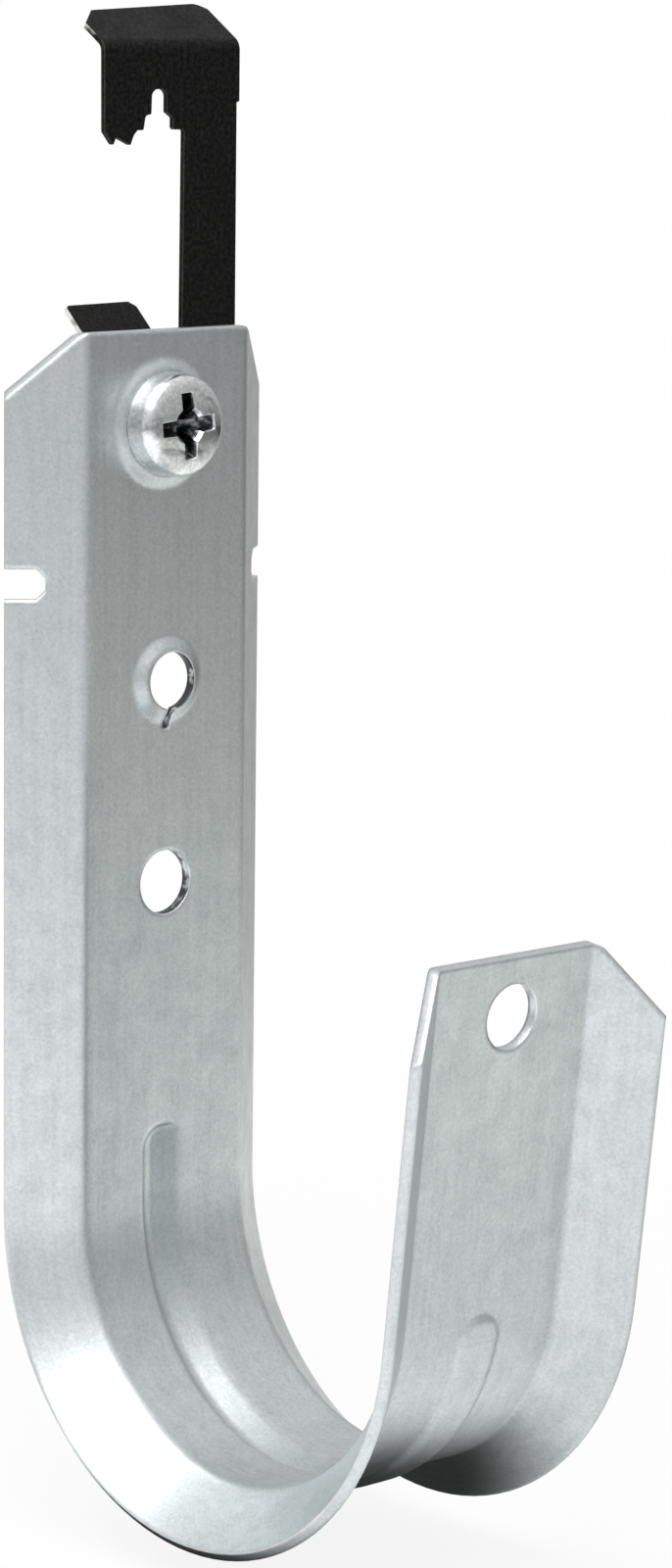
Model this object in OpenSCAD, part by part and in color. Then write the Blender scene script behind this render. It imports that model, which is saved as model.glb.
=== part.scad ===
// J hook cable support: a folded sheet hook with a spring steel clip screwed to its back.
//
// Frame: +Z up, the wall or rod behind the hook is on the +Y side and the open mouth of
// the hook faces -Y. The origin is the plain fixing hole, on the back face of the sheet.
// The hook is one strip of sheet: a flat web with a flange along each edge, both turned
// away from the cables, swept down the back plate, round the loop and up the front leg.

/* [Hook sheet] */
// Thickness of the galvanised sheet
sheet_t = 1.25; // [1.0:0.05:1.6]
// Width over the two flanges
band_w = 36.8; // [35:0.2:42]
// Width of the web between the sharp corners of its front face
web_w = 23; // [22:0.2:26]
// Angle that each flange is turned away from the web
flange_angle = 39.5; // [30:0.5:45]
// Inside radius of the flange bends
flange_bend_r = 0.6; // [0.4:0.1:0.8]

/* [Hook legs] */
// Clear diameter of the loop
loop_d = 50.8; // [45:0.1:60]
// Height of the top edge above the springing of the loop
back_h = 97.3; // [90:0.1:110]
// Length of the straight part of the front leg
front_h = 39.3; // [36:0.1:50]
// Outward lean of the front leg
front_lean = 6.5; // [0:0.5:12]
// Width of the top edge of each leg, between its sloping corners
tip_w = 23.4; // [20:0.2:26]
// Height of the sloping corners of the back plate
back_corner_h = 7.3; // [5:0.1:10]
// Height of the sloping corners of the front leg
front_corner_h = 8.3; // [5:0.1:10]
// Radius where the top edge turns into a sloping corner
tip_r = 1.6; // [1:0.1:2.4]
// The same radius at the back plate's right corner, which is worn rounder
back_right_r = 3; // [1:0.1:3.4]

/* [Hook holes and slots] */
// Diameter of the plain fixing hole
fixing_hole_d = 7.2; // [6.6:0.1:8]
// Height of the fixing hole above the springing of the loop
fixing_hole_h = 35.7; // [30:0.1:40]
// Diameter of the retainer hole in the front leg
front_hole_d = 7.1; // [6:0.1:8]
// Distance of the front leg's hole from the tip
front_hole_drop = 6.5; // [6:0.1:10]
// Diameter of the hole with one thread formed in its rim
thread_hole_d = 6.4; // [6:0.1:7]
// Height of the thread hole above the fixing hole
thread_hole_h = 22.8; // [18:0.1:26]
// Diameter of the cone that stands up round the thread hole
thread_cone_d = 9.6; // [9:0.1:12]
// Height of that cone in front of the web
thread_cone_h = 1.1; // [0.8:0.1:1.4]
// Width of the slit that splits the thread hole's rim
thread_slit_w = 1.2; // [0.8:0.1:1.6]
// Reach of the slit from the middle of the hole
thread_slit_l = 5.5; // [5:0.1:7]
// Height of the edge slots above the fixing hole
edge_slot_h = 34.2; // [30:0.1:40]
// Width of the edge slots
edge_slot_w = 3.4; // [2.5:0.1:4]
// Depth of the edge slots along the flange
edge_slot_l = 4.5; // [3:0.1:5]

/* [Screw boss] */
// Height of the screw above the fixing hole
screw_h = 51.3; // [48:0.1:54]
// Distance of the screw from the middle of the web
screw_x = -0.6; // [-1:0.1:0]
// Diameter of the pressed boss where it leaves the web
boss_d = 14.2; // [14:0.1:15]
// Diameter of the flat top of the boss
boss_top_d = 12.2; // [11.8:0.1:12.4]
// Height of the boss in front of the web
boss_h = 0.6; // [0.5:0.1:0.8]
// Clearance hole for the screw
boss_hole_d = 6.9; // [6.6:0.1:7.2]

/* [Stiffening bead] */
// Width of the groove in the front face, over its rounded shoulders
bead_w = 6.9; // [6.5:0.1:7.5]
// Depth of the groove
bead_depth = 1.1; // [1.1:0.1:1.4]
// Length of the bead above the springing of the loop on the back plate
bead_rise_back = 8.6; // [6:0.1:12]
// Distance of the middle of the bead's end below the foot of the front leg
bead_drop_front = 3; // [2:0.1:4]
// How far the bead sinks back into the sheet towards its end on the front leg
bead_fade = 0.6; // [0.3:0.1:0.7]

/* [Clip] */
// Thickness of the spring steel
clip_t = 0.6; // [0.5:0.1:0.9]
// Inside radius of the clip's bends
clip_bend_r = 1; // [0.8:0.1:1.5]
// Left edge of the clip
clip_left = -8.5; // [-9:0.1:-8.4]
// Right edge of the clip
clip_right = 10.8; // [10:0.1:10.8]
// Left edge of the clip's head
head_left = -8.2; // [-8.4:0.1:-8]
// Right edge of the clip's head, past a small step
head_right = 11.2; // [11:0.1:11.5]
// Bottom edge of the base that the screw passes through
clip_bottom = 41.5; // [40:0.5:43]
// Left edge of the arm that carries the head
arm_left = 3; // [2.4:0.1:3.2]
// Middle of the stepped notch in the head
notch_x = -0.35; // [-0.6:0.05:0]
// Throat of the notch, for the thinnest wire
notch_w1 = 2.3; // [1.8:0.1:2.4]
// Middle step of the notch, for thicker wire
notch_w2 = 3.9; // [3.6:0.1:4]
// Height of the bend line of the upper wing
wing_z = 92.6; // [91:0.1:95]
// Length of the upper wing along its right edge, from its bend line
wing_l = 7.6; // [7:0.1:8]
// How much shorter the left edge of the upper wing is
wing_skew = 1.3; // [0:0.1:1.5]
// Angle that the upper wing is turned back
wing_angle = 57; // [40:1:70]
// Size of the sloping corner at the left of the upper wing
wing_corner = 2.5; // [1.5:0.1:3]
// Height of the bend line of the lower tab
tab_z = 58.3; // [57:0.1:60]
// Right edge of the lower tab
tab_right = 1.3; // [0.8:0.1:1.5]
// Length of the lower tab from its bend line
tab_l = 8.6; // [6:0.1:10]
// Angle that the lower tab is turned back
tab_angle = 47; // [35:1:60]
// Height of the threaded collar behind the clip's base
collar_h = 1.7; // [1:0.1:2]

/* [Screw] */
// Diameter of the pan head
head_d = 11.5; // [11.2:0.1:11.6]
// Height of the pan head
head_h = 4.1; // [3.8:0.1:4.3]
// Diameter of the shank at the root of its thread
shank_d = 5.2; // [5:0.1:5.4]
// Length of the shank under the head
shank_l = 9.5; // [8:0.5:16]
// Span of the cross recess
recess_span = 7.2; // [6.5:0.1:7.6]
// Width of the recess's arms
recess_arm_w = 1.4; // [1:0.1:1.6]
// Depth of the recess
recess_depth = 3; // [2.4:0.1:3.2]
// Turn of the recess from upright
recess_turn = 5; // [-45:1:45]

/* [Hidden] */
$fn = 96;
reach = 60;          // longer than anything a cutter has to pass through
lap = 0.4;           // how far joined shapes run into each other
bite = 0.001;        // how far an arc cuts into the straight sides that it meets

loop_r = loop_d / 2;
front_sweep = 90 - front_lean + 2; // runs a little way into the back half
seam = 0.002;                      // the front half is this much thinner where they join
corner_x = web_w / 2;
flange_l = (band_w / 2 - corner_x) / cos(flange_angle);

bead_wall = 50;                    // slope of the bead's walls
bead_shoulder_r = 1;               // where the front face turns into the groove
sink = 0.005;                      // blended feet start this far inside the face they leave

boss_face_y = -sheet_t - boss_h;
thread_r = 3.175;                  // outside of the quarter inch thread

// ---- outlines with rounded corners -------------------------------------------------
// Each point is [x, y, radius], in anticlockwise order. A corner is cut back to its two
// tangent points and a circle fills it, or hollows it if the corner turns inwards.

function unit(v) = v / norm(v);
function turn(a, b, c) = (b.x - a.x) * (c.y - b.y) - (b.y - a.y) * (c.x - b.x);
function wrap(pts, i) = pts[(i + len(pts)) % len(pts)];
function flat(p) = [p.x, p.y];
function dir_in(pts, i) = unit(flat(wrap(pts, i - 1)) - flat(pts[i]));
function dir_out(pts, i) = unit(flat(wrap(pts, i + 1)) - flat(pts[i]));
function half_corner(pts, i) = acos(dir_in(pts, i) * dir_out(pts, i)) / 2;
function setback(pts, i) = pts[i][2] / tan(half_corner(pts, i));
function tangent_in(pts, i) = flat(pts[i]) + dir_in(pts, i) * setback(pts, i);
function tangent_out(pts, i) = flat(pts[i]) + dir_out(pts, i) * setback(pts, i);
function arc_centre(pts, i) =
    flat(pts[i]) + unit(dir_in(pts, i) + dir_out(pts, i)) * pts[i][2] / sin(half_corner(pts, i));
function is_convex(pts, i) = turn(wrap(pts, i - 1), pts[i], wrap(pts, i + 1)) > 0;

// The same outline drawn a distance d inside itself
function inset(pts, d) = [for (i = [0:len(pts) - 1])
    let (way = is_convex(pts, i) ? d : -d)
    let (p = flat(pts[i]) + unit(dir_in(pts, i) + dir_out(pts, i)) * way / sin(half_corner(pts, i)))
    [p.x, p.y, pts[i][2] > 0 ? pts[i][2] - way : 0]];

module rounded_outline(pts) {
    rounded = [for (i = [0:len(pts) - 1]) if (pts[i][2] > 0) i];
    tangents = [for (i = [0:len(pts) - 1]) each pts[i][2] > 0
        ? [tangent_in(pts, i), tangent_out(pts, i)]
        : [flat(pts[i])]];
    difference() {
        union() {
            polygon(tangents);
            for (i = rounded) if (is_convex(pts, i)) corner_fill(pts, i);
        }
        for (i = rounded) if (!is_convex(pts, i))
            translate(arc_centre(pts, i)) circle(r = pts[i][2] + bite);
    }
}

// The part of a corner's circle on its own side of the sheet
module corner_fill(pts, i) {
    centre = arc_centre(pts, i);
    chord_mid = (tangent_in(pts, i) + tangent_out(pts, i)) / 2;
    inside = chord_mid + unit(centre - chord_mid) * pts[i][2] * 0.3;
    past_in = tangent_in(pts, i) + dir_in(pts, i) * pts[i][2] * 0.2;
    past_out = tangent_out(pts, i) + dir_out(pts, i) * pts[i][2] * 0.2;
    intersection() {
        translate(centre) circle(r = pts[i][2] + bite);
        polygon([inside, inside + 3 * (past_in - inside), inside + 3 * (past_out - inside)]);
    }
}

// ---- hook --------------------------------------------------------------------------

// Cross-section of the strip: X across it, Y outwards from the face that holds the cables
module band_section(slack = 0) {
    back_corner_x = corner_x - sheet_t * tan(flange_angle / 2);
    edge = [band_w / 2, (band_w / 2 - corner_x) * tan(flange_angle)];
    across = sheet_t * [-sin(flange_angle), cos(flange_angle)];
    rounded_outline(inset([
        [-corner_x, 0, flange_bend_r + sheet_t],
        [corner_x, 0, flange_bend_r + sheet_t],
        [edge.x, edge.y, 0],
        [edge.x + across.x, edge.y + across.y, 0],
        [back_corner_x, sheet_t, flange_bend_r],
        [-back_corner_x, sheet_t, flange_bend_r],
        [-edge.x - across.x, edge.y + across.y, 0],
        [-edge.x, edge.y, 0]], slack));
}

// The bead's section above one face of the sheet, standing on a plinth that reaches to base
module bead_section(face, base, foot_r, crown_r, slack) {
    foot_x = bead_w / 2 + (face - bead_shoulder_r) * tan(bead_wall / 2);
    crown_x = foot_x - bead_depth / tan(bead_wall);
    plinth_x = bead_w / 2 + face;
    translate([0, -sink]) rounded_outline(inset([
        [-plinth_x, base, 0],
        [plinth_x, base, 0],
        [plinth_x, face, 0],
        [foot_x, face, foot_r],
        [crown_x, face + bead_depth, crown_r],
        [-crown_x, face + bead_depth, crown_r],
        [-foot_x, face, foot_r],
        [-plinth_x, face, 0]], slack));
}

// The groove in the face that holds the cables
module groove_section(slack = 0) {
    bead_section(0, -lap, bead_shoulder_r, 1.6, slack);
}

// The rib that the groove raises on the other face
module rib_section(slack = 0) {
    bead_section(sheet_t, sheet_t / 2, 0.5, 2.4, slack);
}

// Fills the groove's wall on one side down to a gentle ramp
module ramp_section(side, slack = 0) {
    start_x = bead_w / 2 + 0.8;
    polygon([
        [side * start_x, sink + slack],
        [side * (start_x - 1.1), sink + slack],
        [side * (start_x - 1.7), sink + slack + 0.04],
        [side * (start_x - 2.4), sink + slack + 0.15],
        [-side * 1.4, sheet_t - 0.06 - slack],
        [side * start_x, sheet_t - 0.05 - slack]]);
}

// Each leg is drawn upright in a frame of its own: the axis of the loop is X, Y points
// outwards through the leg and Z up along it
module back_frame() {
    translate([0, -sheet_t - loop_r, -fixing_hole_h]) children();
}

module front_frame() {
    translate([0, -sheet_t - loop_r, -fixing_hole_h]) rotate([front_lean, 0, 0])
        rotate([0, 0, 180]) children();
}

// Carries a section round the loop from the foot of a leg
module loop_part(sweep) {
    rotate([-90, 0, 90]) rotate_extrude(angle = sweep, $fn = 180) rotate(-90)
        translate([0, loop_r]) children();
}

// Front outline of a leg's free end, with its top edge at height h
module leg_outline(h, corner_h, right_r) {
    slope = corner_h / (band_w - tip_w) * 2;
    spread = 10;
    rounded_outline([
        [-tip_w / 2 - spread, -lap, 0],
        [tip_w / 2 + spread, -lap, 0],
        [tip_w / 2 + spread, h - spread * slope, 0],
        [tip_w / 2, h, right_r],
        [-tip_w / 2, h, tip_r],
        [-tip_w / 2 - spread, h - spread * slope, 0]]);
}

// One leg with its share of the loop
module half_strip(h, corner_h, right_r, sweep, slack) {
    intersection() {
        translate([0, loop_r, 0]) linear_extrude(h) band_section(slack);
        translate([0, reach, 0]) rotate([90, 0, 0]) linear_extrude(reach)
            leg_outline(h, corner_h, right_r);
    }
    loop_part(sweep) band_section(slack);
}

// Carries the bead's section round its end, whose middle is at height z
module bead_end(z) {
    translate([0, loop_r, z]) rotate([-90, 180, 0]) rotate_extrude(angle = 180)
        intersection() {
            children();
            translate([0, -lap]) square(bead_w);
        }
}

module back_bead() {
    rise = bead_rise_back - bead_w / 2;
    back_frame() {
        loop_part(90) children();
        translate([0, loop_r, 0]) linear_extrude(rise) children();
        bead_end(rise) children();
    }
}

module front_bead() {
    start = asin((bead_drop_front - 0.15) / loop_r);
    front_frame() translate([0, -bead_fade, 0]) {
        rotate([-start, 0, 0]) loop_part(front_sweep - start) children();
        rotate([-start / 2, 0, 0]) bead_end(-bead_drop_front / 2) children();
    }
}

module ramps() {
    back_frame() {
        loop_part(90) ramp_section(1);
        translate([0, loop_r, 0]) linear_extrude(bead_rise_back + 1) ramp_section(1);
    }
    front_frame() {
        loop_part(front_sweep) ramp_section(-1, seam);
        translate([0, loop_r, 0]) linear_extrude(bead_w / 2) ramp_section(-1, seam);
    }
}

// A shape turned about a hole's axis: [radius, height in front of the sheet's back face]
module on_web(x, z) {
    translate([x, 0, z]) rotate([90, 0, 0]) rotate_extrude() children();
}

// Metal that a punch from behind pushes out in front of the web
module raised(foot_r, top_r, h, blend_r) {
    rounded_outline([
        [0, sheet_t / 2, 0],
        [foot_r + 2 * blend_r, sheet_t / 2, 0],
        [foot_r + 2 * blend_r, sheet_t, 0],
        [foot_r, sheet_t, blend_r],
        [top_r, sheet_t + h, blend_r],
        [0, sheet_t + h, 0]]);
}

// The hollow that the same punch leaves in the back face
module hollow(foot_r, top_r, h) {
    polygon([[0, -lap], [foot_r, -lap], [foot_r, 0], [top_r, h], [0, h]]);
}

// Slot punched in from the edge of a flange, square to the flange
module edge_slot() {
    translate([corner_x, -sheet_t, edge_slot_h]) rotate([90, 0, flange_angle])
        translate([flange_l - edge_slot_l, 0, 0]) linear_extrude(4 * sheet_t, center = true)
            rounded_outline([
                [0, -edge_slot_w / 2, edge_slot_w * 0.4],
                [2 * edge_slot_l, -edge_slot_w / 2, 0],
                [2 * edge_slot_l, edge_slot_w / 2, 0],
                [0, edge_slot_w / 2, edge_slot_w * 0.4]]);
}

module back_holes() {
    rotate([90, 0, 0]) cylinder(h = reach, d = fixing_hole_d, center = true);
    translate([screw_x, 0, screw_h]) rotate([90, 0, 0])
        cylinder(h = reach, d = boss_hole_d, center = true);
    translate([0, 0, thread_hole_h]) rotate([90, 0, 0]) {
        cylinder(h = reach, d = thread_hole_d, center = true);
        linear_extrude(reach, center = true) polygon([
            [-thread_slit_w * 0.6, 0], [-thread_slit_w * 0.4, -thread_slit_l],
            [thread_slit_w * 0.4, -thread_slit_l], [thread_slit_w * 0.6, 0]]);
    }
}

module j_hook() {
    color([0.71, 0.73, 0.73]) {
        difference() {
            union() {
                back_frame() half_strip(back_h, back_corner_h, back_right_r, 90, 0);
                front_frame() half_strip(front_h, front_corner_h, tip_r, front_sweep, seam);
                back_bead() rib_section();
                front_bead() rib_section(seam);
                on_web(0, thread_hole_h)
                    raised(thread_cone_d / 2, thread_hole_d / 2, thread_cone_h, 0.3);
                on_web(screw_x, screw_h) raised(boss_d / 2, boss_top_d / 2, boss_h, 1);
            }
            back_bead() groove_section();
            front_bead() groove_section(seam);
            on_web(0, thread_hole_h) hollow(thread_cone_d / 2, thread_hole_d / 2, thread_cone_h);
            on_web(screw_x, screw_h) hollow(boss_d / 2, boss_top_d / 2, boss_h);
            back_holes();
            for (side = [0, 1]) mirror([side, 0, 0]) edge_slot();
            front_frame() translate([0, loop_r, front_h - front_hole_drop])
                rotate([90, 0, 0]) cylinder(h = 20, d = front_hole_d, center = true);
        }
        ramps();
    }
}

// ---- clip --------------------------------------------------------------------------

// Side view of a strip in the clip's plane that is folded back at height z: [Y, Z]
module folded_strip(bottom, z, length, angle) {
    tip = [0, z] + length * [sin(angle), cos(angle)];
    across = clip_t * [cos(angle), -sin(angle)];
    rounded_outline([
        [0, bottom, 0],
        [clip_t, bottom, 0],
        [clip_t, z - clip_t * tan(angle / 2), clip_bend_r],
        [tip.x + across.x, tip.y + across.y, 0],
        [tip.x, tip.y, 0],
        [0, z, clip_bend_r + clip_t]]);
}

// A folded strip as wide as the clip, trimmed square to its folded end by the children's
// blank, which is drawn in the plane of that end with the bend line at Y = 0
module folded(bottom, z, length, angle) {
    intersection() {
        translate([clip_left - 1, 0, 0]) rotate([90, 0, 90])
            linear_extrude(clip_right - clip_left + 2) folded_strip(bottom, z, length, angle);
        translate([0, 0, z]) rotate([90 - angle, 0, 0]) linear_extrude(3 * reach, center = true)
            children();
    }
}

// Front outline of the base, the arm and the head with its stepped notch
module clip_outline() {
    top = wing_z + wing_l;
    slot_bottom = tab_z - 2.3;
    base_top = tab_z - 1.5;   // where the tab takes over from the base
    step1_z = 84.9;           // top of the middle step
    step2_z = 83.2;           // top of the widest step
    throat_z = 87.6;          // end of the throat
    tooth_z = 81.6;           // tips of the teeth
    arm_top = 86.2;           // where the arm widens into the head
    half1 = notch_w1 / 2;
    half2 = notch_w2 / 2;
    rounded_outline([
        [clip_left, clip_bottom, 2],
        [clip_right, clip_bottom, 2],
        [clip_right, arm_top - 0.15, 0],
        [head_right, arm_top, 0],
        [head_right, top, 0],
        [head_left, top, 0],
        [head_left + 0.1, 83.1, 0.2],
        [head_left + 1.3, tooth_z, 0.1],
        [head_left + 1.75, 82.5, 0.15],
        [notch_x - 4.1, tooth_z, 0.12],
        [notch_x - 3.6, 82.7, 0.5],
        [notch_x - 3.1, step2_z, 0.3],
        [notch_x - half2 - 0.3, step2_z, 0.25],
        [notch_x - half2, step1_z - 0.1, 0.5],
        [notch_x - half1, step1_z, 0.2],
        [notch_x - half1 + 0.1, throat_z, 0.85],
        [notch_x + half1 - 0.1, throat_z, 0.85],
        [notch_x + half1 - 0.1, step1_z + 0.2, 0.2],
        [notch_x + half2, step1_z - 0.4, 0.3],
        [notch_x + half2, step2_z, 0.3],
        [arm_left + 0.2, step2_z, 0.3],
        [arm_left, slot_bottom, 0.7],
        [tab_right, slot_bottom, 0.7],
        [tab_right, base_top, 0],
        [clip_left, base_top, 0]]);
}

module wing_blank() {
    spread = 4;
    left = head_left + wing_corner;
    right = head_right - 1.1;
    left_l = wing_l - wing_skew;
    rounded_outline([
        [left - spread, -reach, 0],
        [right + spread, -reach, 0],
        [right + spread, wing_l - spread, 0],
        [right, wing_l, 1.5],
        [left, left_l, 0.4],
        [left - spread, left_l - spread, 0]]);
}

module tab_blank() {
    rounded_outline([
        [clip_left, -reach, 0],
        [tab_right, -reach, 0],
        [tab_right, tab_l, 1],
        [clip_left, tab_l - 0.2, 0.5]]);
}

module spring_clip() {
    color([0.09, 0.09, 0.1]) difference() {
        union() {
            intersection() {
                folded(clip_bottom, wing_z, wing_l + 1, wing_angle) wing_blank();
                rotate([90, 0, 0]) linear_extrude(reach, center = true) clip_outline();
            }
            folded(tab_z - 6, tab_z, tab_l + 1, tab_angle) tab_blank();
            translate([screw_x, clip_t + collar_h, screw_h]) rotate([90, 0, 0])
                cylinder(h = collar_h + clip_t / 2, r = thread_r + 1);
        }
        translate([screw_x, 0, screw_h]) rotate([90, 0, 0])
            cylinder(h = 20, r = thread_r + 0.02, center = true);
    }
}

// ---- screw -------------------------------------------------------------------------

// Cross recess, sunk from z = 0: two tapered arms through a tapered core
module cross_recess() {
    core_r = recess_span * 0.2;
    for (a = [0, 90]) rotate([90, 0, a]) linear_extrude(recess_arm_w, center = true)
        polygon([
            [-recess_span / 2 - 0.2, 1], [-recess_span / 2, 0],
            [-recess_span * 0.2, -recess_depth], [recess_span * 0.2, -recess_depth],
            [recess_span / 2, 0], [recess_span / 2 + 0.2, 1]]);
    translate([0, 0, -recess_depth]) cylinder(h = recess_depth + 1, r1 = core_r * 0.7, r2 = core_r * 1.3);
}

module pan_head_screw() {
    head_r = head_d / 2;
    color([0.8, 0.81, 0.82])
        translate([screw_x, boss_face_y, screw_h]) rotate([90, 0, 0]) difference() {
            rotate_extrude() rounded_outline([
                [0, -shank_l, 0],
                [shank_d / 2 - 0.8, -shank_l, 0],
                [shank_d / 2, -shank_l + 0.8, 0],
                [shank_d / 2, 0, 0.3],
                [head_r, 0, 0.15],
                [head_r - 0.1, head_h * 0.92, 1.4],
                [0, head_h, 0]]);
            translate([0, 0, head_h * 0.95]) rotate(recess_turn) cross_recess();
        }
}

j_hook();
spring_clip();
pan_head_screw();
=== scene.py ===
import math

import bmesh
import bpy
from mathutils import Matrix, Vector


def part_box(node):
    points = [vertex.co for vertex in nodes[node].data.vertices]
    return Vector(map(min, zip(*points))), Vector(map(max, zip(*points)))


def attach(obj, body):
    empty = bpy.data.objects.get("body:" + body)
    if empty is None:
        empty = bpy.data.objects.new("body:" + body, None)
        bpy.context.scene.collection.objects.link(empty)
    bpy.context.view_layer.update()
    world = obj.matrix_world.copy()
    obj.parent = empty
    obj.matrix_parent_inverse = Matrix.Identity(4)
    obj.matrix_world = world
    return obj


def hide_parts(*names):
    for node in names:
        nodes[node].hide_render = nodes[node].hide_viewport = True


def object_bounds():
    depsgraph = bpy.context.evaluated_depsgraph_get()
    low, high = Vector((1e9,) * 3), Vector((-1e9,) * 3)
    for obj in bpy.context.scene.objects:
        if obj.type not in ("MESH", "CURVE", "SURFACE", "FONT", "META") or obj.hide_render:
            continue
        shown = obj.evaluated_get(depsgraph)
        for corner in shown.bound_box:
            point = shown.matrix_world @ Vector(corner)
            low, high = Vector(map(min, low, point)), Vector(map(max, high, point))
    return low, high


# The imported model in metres: +Z up, the wall or wire behind the hook on +Y, the open mouth on -Y.
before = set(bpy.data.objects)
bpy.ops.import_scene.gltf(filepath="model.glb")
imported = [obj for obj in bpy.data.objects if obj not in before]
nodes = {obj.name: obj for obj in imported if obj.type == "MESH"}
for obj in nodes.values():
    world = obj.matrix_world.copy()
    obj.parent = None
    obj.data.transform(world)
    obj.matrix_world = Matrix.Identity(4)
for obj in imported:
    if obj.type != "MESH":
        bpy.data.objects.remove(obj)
cad_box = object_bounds()

# ---------------------------------------------------------------------------------------------
# Camera: a long lens a little above the top of the clip and well to the left of the hook's front,
# which looks down by nine degrees.

MM = 0.001
stand = Vector((-352.2, -415.55, 101.9)) * MM
turned = math.radians(-42.367)
raised = math.radians(9.467)
rolled = math.radians(0.659)
back = Vector((math.sin(turned) * math.cos(raised), -math.cos(turned) * math.cos(raised), math.sin(raised)))
right = Vector((math.cos(turned), math.sin(turned), 0))
up = back.cross(right)
axes = Matrix((right * math.cos(rolled) + up * math.sin(rolled),
               up * math.cos(rolled) - right * math.sin(rolled), back)).transposed()
lens = bpy.data.cameras.new("studio_camera")
lens.sensor_width = 36
lens.lens = 113.72
lens.clip_start, lens.clip_end = 0.01, 20
camera = bpy.data.objects.new("studio_camera", lens)
camera.matrix_world = Matrix.Translation(stand) @ axes.to_4x4()
bpy.context.scene.collection.objects.link(camera)
bpy.context.scene.camera = camera
bpy.context.scene.view_settings.view_transform = "Standard"

# ---------------------------------------------------------------------------------------------
# Studio: white paper under the hook and white all round for the camera, with one wide softbox
# overhead. Polished metal sees levels of its own in both, set for this view, not plain white.


def linear(code):
    """An sRGB hex value as the linear colour that the shaders use."""
    parts = [int(code[i:i + 2], 16) / 255 for i in (0, 2, 4)]
    return [p / 12.92 if p <= 0.04045 else ((p + 0.055) / 1.055) ** 2.4 for p in parts] + [1]


def add(tree, kind, links=(), **settings):
    """Adds a node with its settings, and links sources to its inputs."""
    node = tree.nodes.new(kind)
    for name, value in settings.items():
        if name[:3] == "in_":
            key = name[3:].replace("_", " ")
            node.inputs[int(key) if key.isdigit() else key].default_value = value
        else:
            setattr(node, name, value)
    for socket, source in dict(links).items():
        tree.links.new(source, node.inputs[socket])
    return node


studio = bpy.data.worlds.new("studio")
bpy.context.scene.world = studio
studio.use_nodes = True
tree = studio.node_tree
tree.nodes.clear()
path = add(tree, "ShaderNodeLightPath")
where = add(tree, "ShaderNodeTexCoord")
# Polished surfaces see a room of 0.56 on the level, 0.94 overhead and 0.18 below, and lighter on
# the left than on the right. Everything else is lit by a plain 0.5, and the camera sees 1.
slant = add(tree, "ShaderNodeVectorMath", {0: where.outputs["Generated"]}, operation="DOT_PRODUCT",
            in_1=(-0.12, 0.02, 0.38))
room = add(tree, "ShaderNodeMath", {0: slant.outputs["Value"]}, operation="ADD", in_1=0.56)
seen = add(tree, "ShaderNodeMath",
           {0: path.outputs["Is Glossy Ray"], 1: path.outputs["Is Transmission Ray"]}, operation="MAXIMUM")
level = add(tree, "ShaderNodeMix", {0: seen.outputs[0], 3: room.outputs[0]}, data_type="FLOAT", in_2=0.5)
white = add(tree, "ShaderNodeMath", {0: level.outputs[0], 1: path.outputs["Is Camera Ray"]},
            operation="MAXIMUM")
sky = add(tree, "ShaderNodeBackground", {"Strength": white.outputs[0]}, in_Color=(1, 1, 1, 1))
add(tree, "ShaderNodeOutputWorld", {"Surface": sky.outputs[0]})

softbox = bpy.data.lights.new("overhead_softbox", "AREA")
softbox.shape = "RECTANGLE"
softbox.size = 0.6
softbox.size_y = 0.6
softbox.energy = 4.2
hung = Vector((-0.3, -0.1, 0.6))
aim = Vector((0, -0.02, -0.03))
holder = bpy.data.objects.new("overhead_softbox", softbox)
holder.location = hung
holder.rotation_euler = (aim - hung).to_track_quat("-Z", "Y").to_euler()
bpy.context.scene.collection.objects.link(holder)

# White paper 4 mm below the loop. What polished surfaces see of it is painted, not traced: a pool
# of light that is brightest in front on the left, a lit stretch behind, a dark contact shadow under
# the loop, a soft shadow in front on the right, and a tint that is cooler on the left.
FLOOR_REACH = 4
floor_mesh = bpy.data.meshes.new("studio_floor")
floor_z = cad_box[0].z - 4 * MM
floor_mesh.from_pydata([(x * FLOOR_REACH, y * FLOOR_REACH, floor_z)
                        for x, y in ((-1, -1), (1, -1), (1, 1), (-1, 1))], [], [(0, 1, 2, 3)])
floor = bpy.data.objects.new("studio_floor", floor_mesh)
bpy.context.scene.collection.objects.link(floor)
pale = bpy.data.materials.new("white_studio_paper")
pale.use_nodes = True
tree = pale.node_tree
tree.nodes.clear()
path = add(tree, "ShaderNodeLightPath")
where = add(tree, "ShaderNodeTexCoord")
spot = add(tree, "ShaderNodeSeparateXYZ", {0: where.outputs["Object"]})
pool = add(tree, "ShaderNodeVectorMath", {0: where.outputs["Object"]}, operation="DISTANCE",
           in_1=(-0.2, -0.1, floor_z))
pool = add(tree, "ShaderNodeMapRange", {"Value": pool.outputs["Value"]}, interpolation_type="SMOOTHSTEP",
           in_From_Min=0.1, in_From_Max=0.97, in_To_Min=1.4, in_To_Max=0.02)
rear = add(tree, "ShaderNodeMapRange", {"Value": spot.outputs["Y"]}, interpolation_type="SMOOTHSTEP",
           in_From_Min=-0.25, in_From_Max=0.25, in_To_Min=0.0, in_To_Max=0.6)
pool = add(tree, "ShaderNodeMath", {0: pool.outputs[0], 1: rear.outputs[0]}, operation="MAXIMUM")
under = add(tree, "ShaderNodeVectorMath", {0: where.outputs["Object"]}, operation="DISTANCE",
            in_1=(0, -0.018, floor_z))
under = add(tree, "ShaderNodeMapRange", {"Value": under.outputs["Value"]}, interpolation_type="SMOOTHSTEP",
            in_From_Min=0.021, in_From_Max=0.043, in_To_Min=0.03, in_To_Max=1.0)
cast = add(tree, "ShaderNodeVectorMath", {0: where.outputs["Object"]}, operation="DISTANCE",
           in_1=(0.045, -0.12, floor_z))
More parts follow.
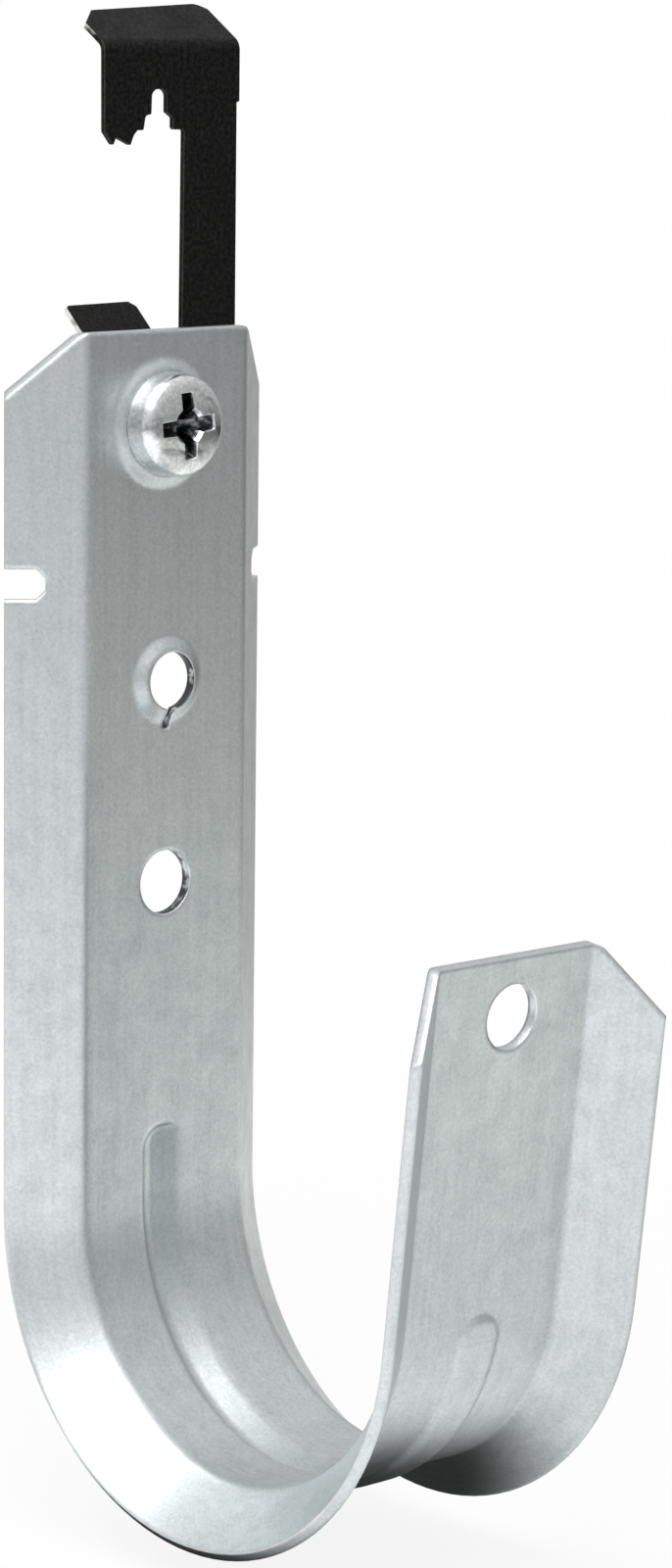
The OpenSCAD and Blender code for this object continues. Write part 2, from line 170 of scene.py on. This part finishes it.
cast = add(tree, "ShaderNodeMapRange", {"Value": cast.outputs["Value"]}, interpolation_type="SMOOTHSTEP",
           in_From_Min=0.02, in_From_Max=0.12, in_To_Min=0.68, in_To_Max=1.0)
for shadow in (under, cast):
    pool = add(tree, "ShaderNodeMath", {0: pool.outputs[0], 1: shadow.outputs[0]}, operation="MULTIPLY")
rightward = add(tree, "ShaderNodeMapRange", {"Value": spot.outputs["X"]}, in_From_Min=-0.12, in_From_Max=0.1)
tint = add(tree, "ShaderNodeMix", {0: rightward.outputs[0]}, data_type="RGBA",
           in_6=(1.0, 1.0, 1.02, 1), in_7=(0.985, 1.0, 0.966, 1))
reflected = add(tree, "ShaderNodeEmission", {"Strength": pool.outputs[0], "Color": tint.outputs[2]})
# The camera sees a little of the paper's own shade near the hook, and pure white from 0.3 m away.
away = add(tree, "ShaderNodeVectorMath", {0: where.outputs["Object"]}, operation="DISTANCE",
           in_1=(0, 0, floor_z))
away = add(tree, "ShaderNodeMapRange", {"Value": away.outputs["Value"]}, interpolation_type="SMOOTHSTEP",
           in_From_Min=0.05, in_From_Max=0.3, in_To_Min=0.88, in_To_Max=1.0)
plain = add(tree, "ShaderNodeMath", {0: path.outputs["Is Camera Ray"], 1: away.outputs[0]},
            operation="MULTIPLY")
paper = add(tree, "ShaderNodeBsdfDiffuse", in_Color=linear("F2F2F0"))
glow = add(tree, "ShaderNodeEmission", in_Color=(1, 1, 1, 1), in_Strength=1.0)
mix = add(tree, "ShaderNodeMixShader", {"Fac": plain.outputs[0], 1: paper.outputs[0], 2: glow.outputs[0]})
mix = add(tree, "ShaderNodeMixShader",
          {"Fac": path.outputs["Is Glossy Ray"], 1: mix.outputs[0], 2: reflected.outputs[0]})
add(tree, "ShaderNodeOutputMaterial", {"Surface": mix.outputs[0]})
floor_mesh.materials.append(pale)

# ---------------------------------------------------------------------------------------------
# J hook: one strip of 1.25 mm galvanised sheet, blanked, pierced and bent up with flanged edges,
# with a groove pressed along the loop and a boss for the clip's screw.

# Hot dip galvanised steel: frozen zinc, a dull satin grey with grains of about 0.4 mm and clouds
# of about 3 mm. Faint draw lines 0.7 mm apart run up the legs. The edges are burnished, and are
# drawn near white as a painted highlight too, 0.8 mm wide so that it shows.
zinc = bpy.data.materials.new("hot_dip_galvanised_steel")
zinc.use_nodes = True
tree = zinc.node_tree
tree.nodes.clear()
where = add(tree, "ShaderNodeTexCoord")
grain = add(tree, "ShaderNodeTexNoise", {"Vector": where.outputs["Object"]},
            in_Scale=2600.0, in_Detail=3.0, in_Roughness=0.7)
cloud = add(tree, "ShaderNodeTexNoise", {"Vector": where.outputs["Object"]},
            in_Scale=330.0, in_Detail=3.0, in_Roughness=0.55, in_Distortion=0.4)
drawn = add(tree, "ShaderNodeMapping", {"Vector": where.outputs["Object"]}, in_Scale=(1500, 400, 60))
drawn = add(tree, "ShaderNodeTexNoise", {"Vector": drawn.outputs[0]}, in_Scale=1.0, in_Detail=2.0)
tone = add(tree, "ShaderNodeMath", {0: cloud.outputs["Fac"], 2: grain.outputs["Fac"]},
           operation="MULTIPLY_ADD", in_1=0.45)
tone = add(tree, "ShaderNodeMath", {0: drawn.outputs["Fac"], 2: tone.outputs[0]},
           operation="MULTIPLY_ADD", in_1=0.35)
tone = add(tree, "ShaderNodeMapRange", {"Value": tone.outputs[0]}, in_From_Min=0.5, in_From_Max=1.3)
colour = add(tree, "ShaderNodeMix", {0: tone.outputs[0]}, data_type="RGBA",
             in_6=linear("B4BBBC"), in_7=linear("E2E6E7"))
rounded = add(tree, "ShaderNodeBevel", samples=8, in_Radius=0.8 * MM)
shape = add(tree, "ShaderNodeNewGeometry")
worn = add(tree, "ShaderNodeVectorMath", {0: rounded.outputs[0], 1: shape.outputs["Normal"]},
           operation="DOT_PRODUCT")
# Edges and folds go near white: burnished wear and a painted highlight.
worn = add(tree, "ShaderNodeMapRange", {"Value": worn.outputs["Value"]},
           in_From_Min=0.88, in_From_Max=0.7, in_To_Min=0.0, in_To_Max=0.8)
colour = add(tree, "ShaderNodeMix", {0: worn.outputs[0], 6: colour.outputs[2]}, data_type="RGBA",
             in_7=linear("F6F7F7"))
# Painted shade in the holes pierced in the back plate: their walls are drawn dark grey, in
# patches. The walls are what faces across the plate, close to its middle, between the groove
# and the top.
place = add(tree, "ShaderNodeSeparateXYZ", {0: where.outputs["Object"]})
facing = add(tree, "ShaderNodeSeparateXYZ", {0: shape.outputs["True Normal"]})
middle = add(tree, "ShaderNodeMath", {0: place.outputs["X"]}, operation="COMPARE", in_1=0.0, in_2=5.2 * MM)
across = add(tree, "ShaderNodeMath", {0: facing.outputs["Y"]}, operation="COMPARE", in_1=0.0, in_2=0.5)
above = add(tree, "ShaderNodeMath", {0: place.outputs["Z"]}, operation="GREATER_THAN", in_1=-10 * MM)
below = add(tree, "ShaderNodeMath", {0: place.outputs["Z"]}, operation="LESS_THAN", in_1=56 * MM)
behind = add(tree, "ShaderNodeMath", {0: place.outputs["Y"]}, operation="GREATER_THAN", in_1=-10 * MM)
shade_patches = add(tree, "ShaderNodeMapRange", {"Value": cloud.outputs["Fac"]},
            in_From_Min=0.6, in_From_Max=0.52, in_To_Min=0.1, in_To_Max=1.0)
hole_shade = middle
for mask in (across, above, below, behind, shade_patches):
    hole_shade = add(tree, "ShaderNodeMath", {0: hole_shade.outputs[0], 1: mask.outputs[0]}, operation="MULTIPLY")
colour = add(tree, "ShaderNodeMix", {0: hole_shade.outputs[0], 6: colour.outputs[2]}, data_type="RGBA",
             in_7=linear("4B4C4F"))
dull = add(tree, "ShaderNodeMapRange", {"Value": cloud.outputs["Fac"]},
           in_From_Min=0.3, in_From_Max=0.7, in_To_Min=0.43, in_To_Max=0.37)
skin = add(tree, "ShaderNodeBump", {"Height": grain.outputs["Fac"], "Normal": rounded.outputs[0]},
           in_Strength=0.8, in_Distance=0.02 * MM)
surface = add(tree, "ShaderNodeBsdfPrincipled",
              {"Base Color": colour.outputs[2], "Roughness": dull.outputs[0], "Normal": skin.outputs[0]},
              in_Metallic=1.0)
add(tree, "ShaderNodeOutputMaterial", {"Surface": surface.outputs[0]})
nodes["j_hook"].data.materials.clear()
nodes["j_hook"].data.materials.append(zinc)

# ---------------------------------------------------------------------------------------------
# Spring clip: 0.6 mm spring steel, blanked with a toothed mouth, its wing and tab folded back,
# hardened and blackened, and held behind the hook's web by the screw.

# Black oxide with an oiled finish: a satin black that hardly reflects, brown along the edges, in
# oily patches of about 4 mm. Its pores are far too fine to show and are drawn 0.5 mm wide.
black = bpy.data.materials.new("black_oxide_spring_steel")
black.use_nodes = True
tree = black.node_tree
tree.nodes.clear()
where = add(tree, "ShaderNodeTexCoord")
pores = add(tree, "ShaderNodeTexNoise", {"Vector": where.outputs["Object"]},
            in_Scale=2000.0, in_Detail=3.0, in_Roughness=0.7)
oiled = add(tree, "ShaderNodeTexNoise", {"Vector": where.outputs["Object"]}, in_Scale=260.0, in_Detail=2.0)
tone = add(tree, "ShaderNodeMapRange", {"Value": pores.outputs["Fac"]}, in_From_Min=0.4, in_From_Max=0.68)
colour = add(tree, "ShaderNodeMix", {0: tone.outputs[0]}, data_type="RGBA",
             in_6=linear("060707"), in_7=linear("232221"))
rounded = add(tree, "ShaderNodeBevel", samples=6, in_Radius=0.25 * MM)
shape = add(tree, "ShaderNodeNewGeometry")
worn = add(tree, "ShaderNodeVectorMath", {0: rounded.outputs[0], 1: shape.outputs["Normal"]},
           operation="DOT_PRODUCT")
worn = add(tree, "ShaderNodeMapRange", {"Value": worn.outputs["Value"]},
           in_From_Min=0.97, in_From_Max=0.75, in_To_Min=0.0, in_To_Max=0.8)
worn = add(tree, "ShaderNodeMath", {0: worn.outputs[0], 1: oiled.outputs["Fac"]}, operation="MULTIPLY")
colour = add(tree, "ShaderNodeMix", {0: worn.outputs[0], 6: colour.outputs[2]}, data_type="RGBA",
             in_7=linear("8A8178"))
# A painted highlight on the left ends of the tab and the wing: where they face left, they are
# drawn light, in patches.
place = add(tree, "ShaderNodeSeparateXYZ", {0: where.outputs["Object"]})
facing = add(tree, "ShaderNodeSeparateXYZ", {0: shape.outputs["True Normal"]})
lit_left_end = add(tree, "ShaderNodeMath", {0: facing.outputs["X"]}, operation="LESS_THAN", in_1=-0.8)
left = add(tree, "ShaderNodeMath", {0: place.outputs["X"]}, operation="LESS_THAN", in_1=-8 * MM)
folded = add(tree, "ShaderNodeMath", {0: place.outputs["Y"]}, operation="GREATER_THAN", in_1=1.4 * MM)
glint_patches = add(tree, "ShaderNodeMapRange", {"Value": oiled.outputs["Fac"]}, in_From_Min=0.4, in_From_Max=0.5)
for mask in (left, folded, glint_patches):
    lit_left_end = add(tree, "ShaderNodeMath", {0: lit_left_end.outputs[0], 1: mask.outputs[0]}, operation="MULTIPLY")
colour = add(tree, "ShaderNodeMix", {0: lit_left_end.outputs[0], 6: colour.outputs[2]}, data_type="RGBA",
             in_7=linear("E8E7E4"))
dull = add(tree, "ShaderNodeMapRange", {"Value": oiled.outputs["Fac"]},
           in_From_Min=0.3, in_From_Max=0.7, in_To_Min=0.42, in_To_Max=0.56)
skin = add(tree, "ShaderNodeBump", {"Height": pores.outputs["Fac"], "Normal": rounded.outputs[0]},
           in_Strength=0.6, in_Distance=0.015 * MM)
surface = add(tree, "ShaderNodeBsdfPrincipled",
              {"Base Color": colour.outputs[2], "Roughness": dull.outputs[0], "Normal": skin.outputs[0]},
              in_Specular_IOR_Level=0.11)
add(tree, "ShaderNodeOutputMaterial", {"Surface": surface.outputs[0]})
nodes["spring_clip"].data.materials.clear()
nodes["spring_clip"].data.materials.append(black)

# ---------------------------------------------------------------------------------------------
# Pan head screw: cold headed from steel wire, with a cross recess punched in its domed face, and
# zinc plated. It goes through the boss into the clip's collar and holds the two together.

HEAD_R = 5.75 * MM
HEAD_H = 4.1 * MM
ROOT_R = 2.6 * MM
CREST_R = 3.175 * MM
PITCH = 1.27 * MM
RECESS_TURN = math.radians(5)
low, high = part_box("pan_head_screw")
seat = Vector(((low.x + high.x) / 2, low.y + HEAD_H, (low.z + high.z) / 2))
shank = high.y - seat.y


def in_head(across, height, upright):
    """A point of the screw: its place on the head's face, and its height above the seat."""
    return seat + Vector((across, -height, upright))


# Bright zinc plating: a shiny skin, short of a mirror, with shallow dents about 3 mm apart and
# specks of 0.4 mm.
bright = bpy.data.materials.new("bright_zinc_plating")
bright.use_nodes = True
tree = bright.node_tree
tree.nodes.clear()
where = add(tree, "ShaderNodeTexCoord")
dents = add(tree, "ShaderNodeTexNoise", {"Vector": where.outputs["Object"]},
            in_Scale=300.0, in_Detail=1.5, in_Roughness=0.5, in_Distortion=0.8)
specks = add(tree, "ShaderNodeTexNoise", {"Vector": where.outputs["Object"]}, in_Scale=2400.0, in_Detail=2.0)
colour = add(tree, "ShaderNodeMapRange", {"Value": specks.outputs["Fac"]}, in_From_Min=0.35, in_From_Max=0.7)
colour = add(tree, "ShaderNodeMix", {0: colour.outputs[0]}, data_type="RGBA",
             in_6=linear("D2D5D6"), in_7=linear("F4F5F5"))
dull = add(tree, "ShaderNodeMapRange", {"Value": dents.outputs["Fac"]},
           in_From_Min=0.3, in_From_Max=0.7, in_To_Min=0.2, in_To_Max=0.36)
rounded = add(tree, "ShaderNodeBevel", samples=6, in_Radius=0.2 * MM)
skin = add(tree, "ShaderNodeBump", {"Height": dents.outputs["Fac"], "Normal": rounded.outputs[0]},
           in_Strength=0.55, in_Distance=0.3 * MM)
surface = add(tree, "ShaderNodeBsdfPrincipled",
              {"Base Color": colour.outputs[2], "Roughness": dull.outputs[0], "Normal": skin.outputs[0]},
              in_Metallic=1.0)
add(tree, "ShaderNodeOutputMaterial", {"Surface": surface.outputs[0]})

# Painted shade down in the recess: dark, with light specks of about 0.7 mm.
recess_shade = bpy.data.materials.new("painted_shade_in_recess")
recess_shade.use_nodes = True
tree = recess_shade.node_tree
tree.nodes.clear()
where = add(tree, "ShaderNodeTexCoord")
specks = add(tree, "ShaderNodeTexNoise", {"Vector": where.outputs["Object"]}, in_Scale=1500.0, in_Detail=2.0)
specks = add(tree, "ShaderNodeMapRange", {"Value": specks.outputs["Fac"]}, in_From_Min=0.45, in_From_Max=0.72)
colour = add(tree, "ShaderNodeMix", {0: specks.outputs[0]}, data_type="RGBA",
             in_6=linear("34373A"), in_7=linear("A7A6A8"))
surface = add(tree, "ShaderNodeBsdfPrincipled", {"Base Color": colour.outputs[2]},
              in_Metallic=1.0, in_Roughness=0.35)
add(tree, "ShaderNodeOutputMaterial", {"Surface": surface.outputs[0]})

# Outline of the blank from the tip to the middle of the face: distance from the axis, height. The
# wall leans in a little, the rim is an arc and the face a shallow dome. Heights and radii in mm.
AROUND = 96
WALL_TOP_H = 2.3
WALL_TOP_R = 5.68
RIM_BEND_R = 1.45
RIM_CENTRE_R = 4.23
FACE_R = 4.48
FACE_TOP_H = 4.12
FACE_FLATNESS = 52
FACE_STEPS = 8
RIM_STEPS = 8
RIM_STEP_DEGREES = 10
outline = [(0, -shank), (1.8 * MM, -shank), (ROOT_R, -shank + 0.8 * MM), (ROOT_R, -0.2 * MM),
           (ROOT_R + 0.2 * MM, 0), (5.55 * MM, 0), (HEAD_R, 0.2 * MM), (WALL_TOP_R * MM, WALL_TOP_H * MM)]
for step in range(1, RIM_STEPS + 1):
    lean = math.radians(step * RIM_STEP_DEGREES)
    outline.append(((RIM_CENTRE_R + RIM_BEND_R * math.cos(lean)) * MM,
                    (WALL_TOP_H + RIM_BEND_R * math.sin(lean)) * MM))
for step in range(FACE_STEPS - 1, -1, -1):
    out = FACE_R * step / FACE_STEPS
    outline.append((out * MM, (FACE_TOP_H - out * out / FACE_FLATNESS) * MM))
blank = bmesh.new()
rings = []
for out, height in outline:
    if out == 0:
        rings.append([blank.verts.new(in_head(0, height, 0))])
    else:
        rings.append([blank.verts.new(in_head(out * math.cos(a), height, out * math.sin(a)))
                      for a in (math.tau * k / AROUND for k in range(AROUND))])
for one, two in zip(rings, rings[1:]):
    for k in range(AROUND):
        patch = [one[k % len(one)], one[(k + 1) % len(one)], two[(k + 1) % len(two)], two[k % len(two)]]
        blank.faces.new(list(dict.fromkeys(patch)))
bmesh.ops.recalc_face_normals(blank, faces=blank.faces)
screw_mesh = bpy.data.meshes.new("pan_head_screw_body")
blank.to_mesh(screw_mesh)
screw_mesh.materials.append(bright)
screw_mesh.materials.append(recess_shade)
screw = bpy.data.objects.new("pan_head_screw_body", screw_mesh)
bpy.context.scene.collection.objects.link(screw)

# The punch: four tapering arms round a rounded core, down to a tip. Each row is a height above
# the seat, and the arm's reach, its half width and the core's radius there, in mm. The first row
# stands clear of the face, and the walls below it are the bright, flared mouth. Deeper down, the
# walls take the painted shade.
PUNCH_ROWS = ((4.6, 4.0, 1.15, 2.5),
              (3.6, 3.6, 0.72, 1.75),
              (2.8, 2.9, 0.6, 1.25),
              (1.8, 2.0, 0.48, 0.95),
              (1.2, 1.2, 0.34, 0.6))
punch = bmesh.new()
rings = []
for height, reach, half, core in PUNCH_ROWS:
    ring = []
    for quarter in range(4):
        turn = quarter * math.pi / 2 + RECESS_TURN
        foot = math.sqrt(core * core - half * half)
        arc = [(core * math.cos(a), core * math.sin(a)) for a in (math.radians(d) for d in (35, 45, 55))]
        for x, y in [(reach, -half), (reach, half), (foot, half), *arc, (half, foot)]:
            ring.append(punch.verts.new(in_head((x * math.cos(turn) - y * math.sin(turn)) * MM, height * MM,
                                                (x * math.sin(turn) + y * math.cos(turn)) * MM)))
    rings.append(ring)
punch.faces.new(rings[0])
tip = punch.verts.new(in_head(0, 1.0 * MM, 0))
corners = len(rings[0])
for one, two in zip(rings, rings[1:]):
    for k in range(corners):
        side = punch.faces.new([one[k], one[(k + 1) % corners], two[(k + 1) % corners], two[k]])
        side.material_index = 0 if one is rings[0] else 1
for k in range(corners):
    punch.faces.new([rings[-1][k], rings[-1][(k + 1) % corners], tip]).material_index = 1
bmesh.ops.recalc_face_normals(punch, faces=punch.faces)
punch_mesh = bpy.data.meshes.new("cross_punch")
punch.to_mesh(punch_mesh)
punch_mesh.materials.append(bright)
punch_mesh.materials.append(recess_shade)
cutter = bpy.data.objects.new("cross_punch", punch_mesh)
bpy.context.scene.collection.objects.link(cutter)
stamped = screw.modifiers.new("stamped", "BOOLEAN")
stamped.operation, stamped.solver, stamped.object = "DIFFERENCE", "EXACT", cutter
headed = bpy.data.meshes.new_from_object(screw.evaluated_get(bpy.context.evaluated_depsgraph_get()))
screw.modifiers.remove(stamped)
screw.data = headed
bpy.data.objects.remove(cutter)
headed.shade_smooth()
headed.set_sharp_from_angle(angle=math.radians(35))
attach(screw, "root")
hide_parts("pan_head_screw")

# The thread: a ridge that climbs the shank and runs out over a ninth of its length at both ends.
# It has two faults. It winds left-handed, where a standard screw is right-handed. And its section
# lies on its side, so that the foot's width stands out from the shank: the ridge is sharp and ends
# at 3.09 mm from the axis, short of CREST_R.
UNTHREADED = 1.5 * MM
SUNK = 0.05 * MM
START = 0.5 * MM
RUN_OUTS = 9.0
rolling = bpy.data.node_groups.new("rolled_thread", "GeometryNodeTree")
turns_and_sizes = {"Turns": (shank - UNTHREADED) / PITCH, "Root Radius": ROOT_R - SUNK,
                   "Length": shank - UNTHREADED, "Ridge Height": CREST_R - ROOT_R + SUNK,
                   "Ridge Foot": 0.85 * PITCH, "Crest Width": PITCH / 8}
inputs = {name: rolling.interface.new_socket(name, in_out="INPUT", socket_type="NodeSocketFloat").identifier
          for name in turns_and_sizes}
finish = rolling.interface.new_socket("Finish", in_out="INPUT", socket_type="NodeSocketMaterial").identifier
rolling.interface.new_socket("Thread", in_out="OUTPUT", socket_type="NodeSocketGeometry")
given = add(rolling, "NodeGroupInput")
helix = add(rolling, "GeometryNodeCurveSpiral", {
    "Rotations": given.outputs["Turns"], "Start Radius": given.outputs["Root Radius"],
    "End Radius": given.outputs["Root Radius"], "Height": given.outputs["Length"]}, in_Resolution=48)
helix = add(rolling, "GeometryNodeSetCurveNormal", {"Curve": helix.outputs[0]}, mode="Z_UP")
ridge = add(rolling, "GeometryNodeCurvePrimitiveQuadrilateral", {
    "Bottom Width": given.outputs["Ridge Foot"], "Top Width": given.outputs["Crest Width"],
    "Height": given.outputs["Ridge Height"]}, mode="TRAPEZOID", in_Offset=0.0)
along = add(rolling, "GeometryNodeSplineParameter")
run_in = add(rolling, "ShaderNodeMath", {0: along.outputs["Factor"]}, operation="MULTIPLY", in_1=RUN_OUTS)
run_out = add(rolling, "ShaderNodeMath", {1: along.outputs["Factor"]}, operation="SUBTRACT", in_0=1.0)
run_out = add(rolling, "ShaderNodeMath", {0: run_out.outputs[0]}, operation="MULTIPLY", in_1=RUN_OUTS)
taper = add(rolling, "ShaderNodeMath", {0: run_in.outputs[0], 1: run_out.outputs[0]}, operation="MINIMUM")
taper = add(rolling, "ShaderNodeClamp", {"Value": taper.outputs[0]}, in_Min=0.05, in_Max=1.0)
swept = add(rolling, "GeometryNodeCurveToMesh", {
    "Curve": helix.outputs[0], "Profile Curve": ridge.outputs[0], "Scale": taper.outputs[0]},
    in_Fill_Caps=True)
swept = add(rolling, "GeometryNodeRealizeInstances", {"Geometry": swept.outputs[0]})
swept = add(rolling, "GeometryNodeSetMaterial", {
    "Geometry": swept.outputs[0], "Material": given.outputs["Finish"]})
add(rolling, "NodeGroupOutput", {"Thread": swept.outputs[0]})
thread = bpy.data.objects.new("screw_thread", bpy.data.meshes.new("screw_thread"))
bpy.context.scene.collection.objects.link(thread)
rolled_on = thread.modifiers.new("rolled_thread", "NODES")
rolled_on.node_group = rolling
for name, value in turns_and_sizes.items():
    rolled_on[inputs[name]] = value
rolled_on[finish] = bright
wound = bpy.data.meshes.new_from_object(thread.evaluated_get(bpy.context.evaluated_depsgraph_get()))
thread.modifiers.remove(rolled_on)
thread.data = wound
# The helix climbs along +Z from its foot, which goes 0.5 mm behind the seat, with +Z turned to +Y.
wound.transform(Matrix.Translation(seat + Vector((0, START, 0)))
                @ Matrix.Rotation(math.radians(-90), 4, "X"))
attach(thread, "root")
